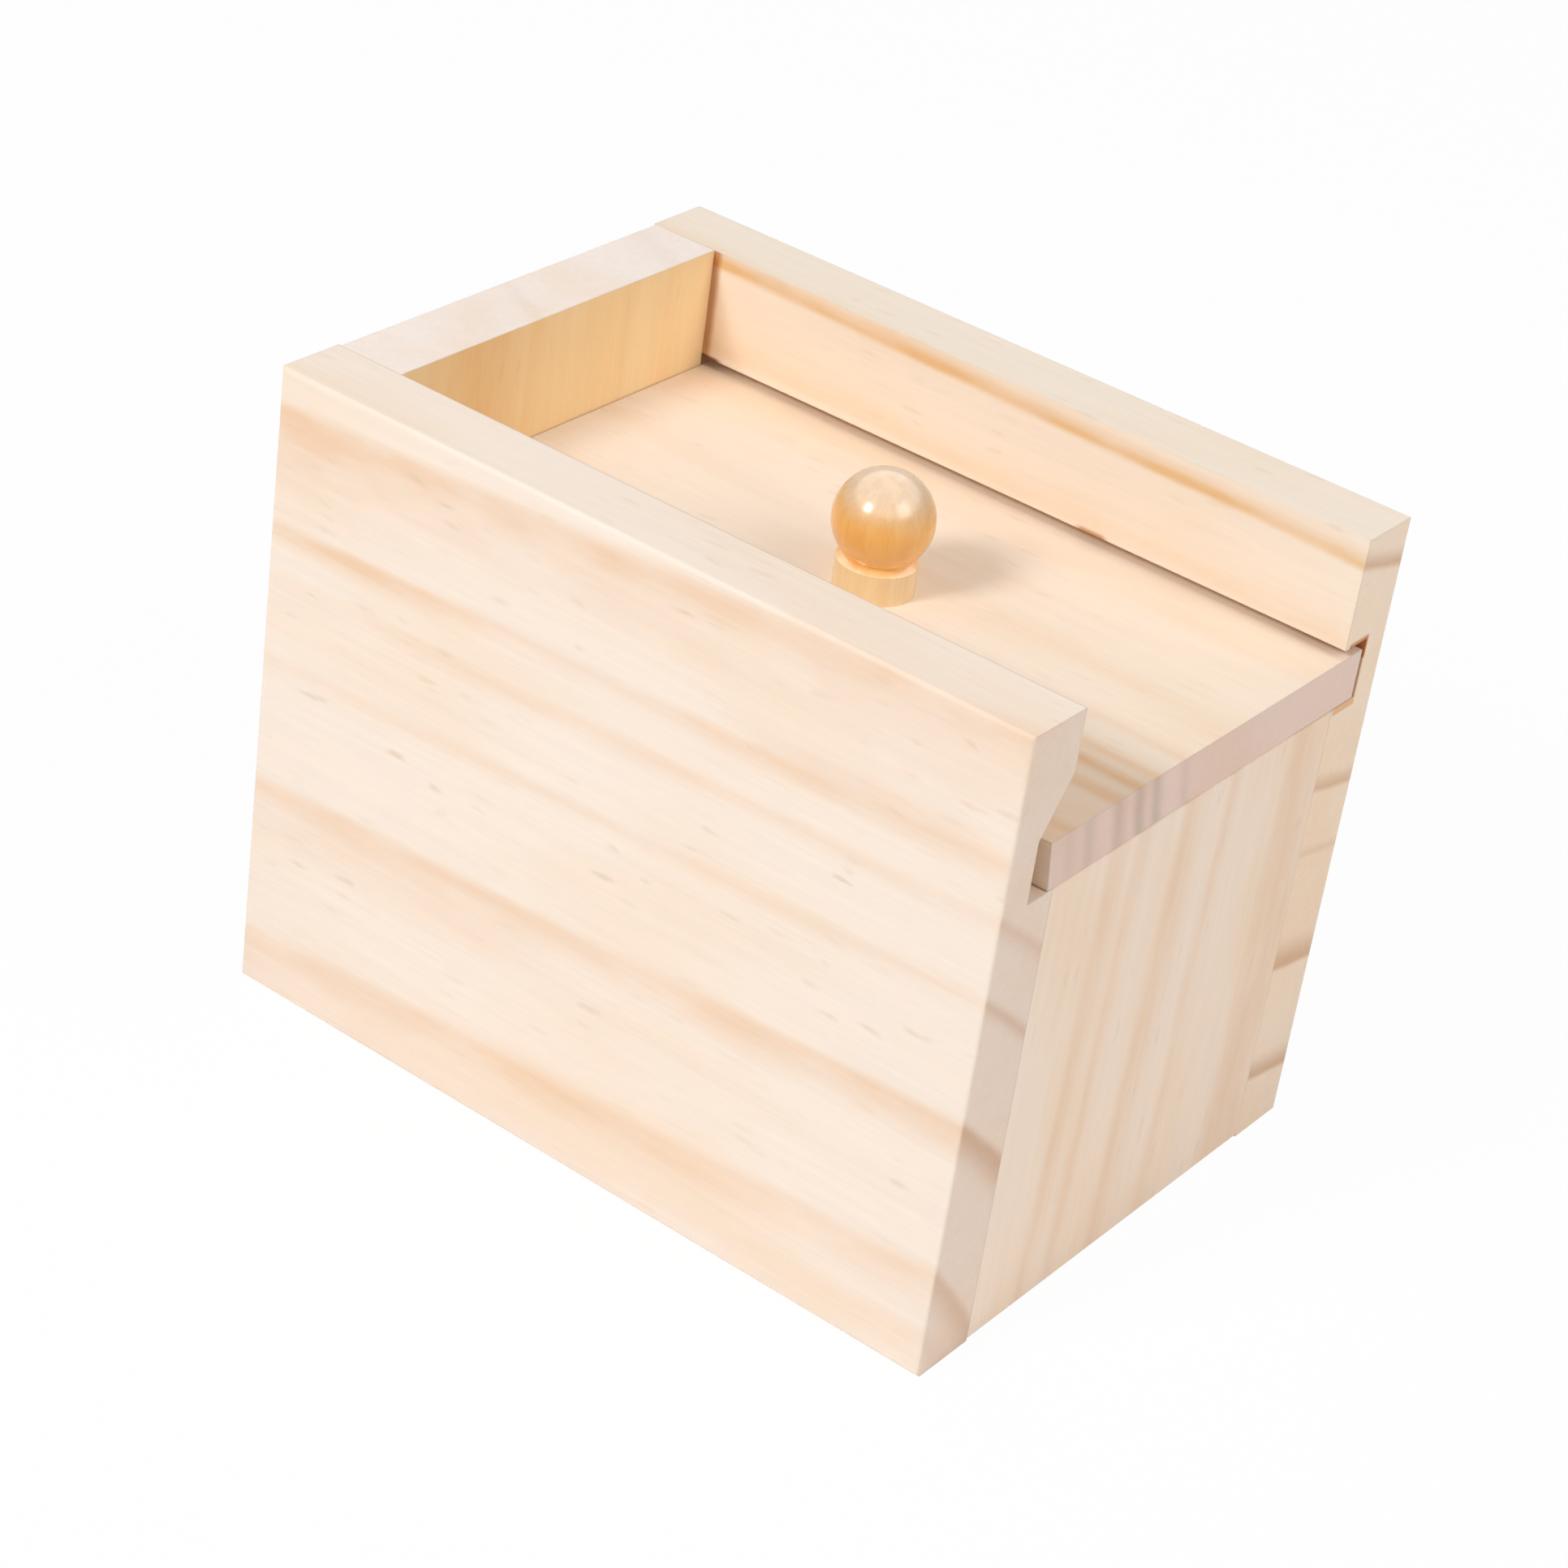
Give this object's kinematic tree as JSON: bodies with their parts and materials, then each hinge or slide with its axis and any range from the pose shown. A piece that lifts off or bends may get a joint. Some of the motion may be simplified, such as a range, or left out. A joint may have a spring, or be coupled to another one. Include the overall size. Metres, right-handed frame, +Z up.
{
  "type": "prank box",
  "caption": "Small pine box with an open-ended rim, whose lid slides out along grooves by a turned knob while a sprung wire arm lifts a rubber spider.",
  "frame": {"origin": "middle of the box's underside, on the surface that it stands on", "axes": "+X along the box towards the low end where the lid slides out, +Y towards the rear board, +Z up"},
  "size_m": [0.082, 0.059, 0.065],
  "materials": {
    "pine": "raw planed pine, matt, with sanded edges",
    "lacquered_wood": "clear gloss lacquer over golden wood",
    "screw_steel": "zinc plated, satin",
    "spring_steel": "drawn music wire, satin",
    "black_rubber": "soft moulded rubber, satin"
  },
  "bodies": {
    "box": {"front_board": "pine", "rear_board": "pine", "far_end_board": "pine", "near_end_board": "pine", "bottom_board": "pine", "axle_pin": "spring_steel", "spring_coil": "spring_steel", "spring_staple": "spring_steel"},
    "lid": {"lid": "pine", "knob": "lacquered_wood", "knob_screw": "screw_steel"},
    "spider_arm": {"spring_arm": "spring_steel", "rubber_spider": "black_rubber"}
  },
  "joints": [
    {"name": "lid_slide", "type": "slide", "parent": "box", "child": "lid", "axis": [1, 0, 0], "range_m": [0, 0.06]},
    {"name": "spider_swing", "type": "hinge", "parent": "box", "child": "spider_arm", "pos_m": [0.0234, 0, 0.024], "axis": [0, 1, 0], "range_deg": [0, 48], "stiffness_Nm_per_rad": 0.02, "springref_deg": 57.3}
  ],
  "couplings": [
    {"joint": "spider_swing", "follows": "lid_slide", "rad_per_m": 13.96}
  ]
}
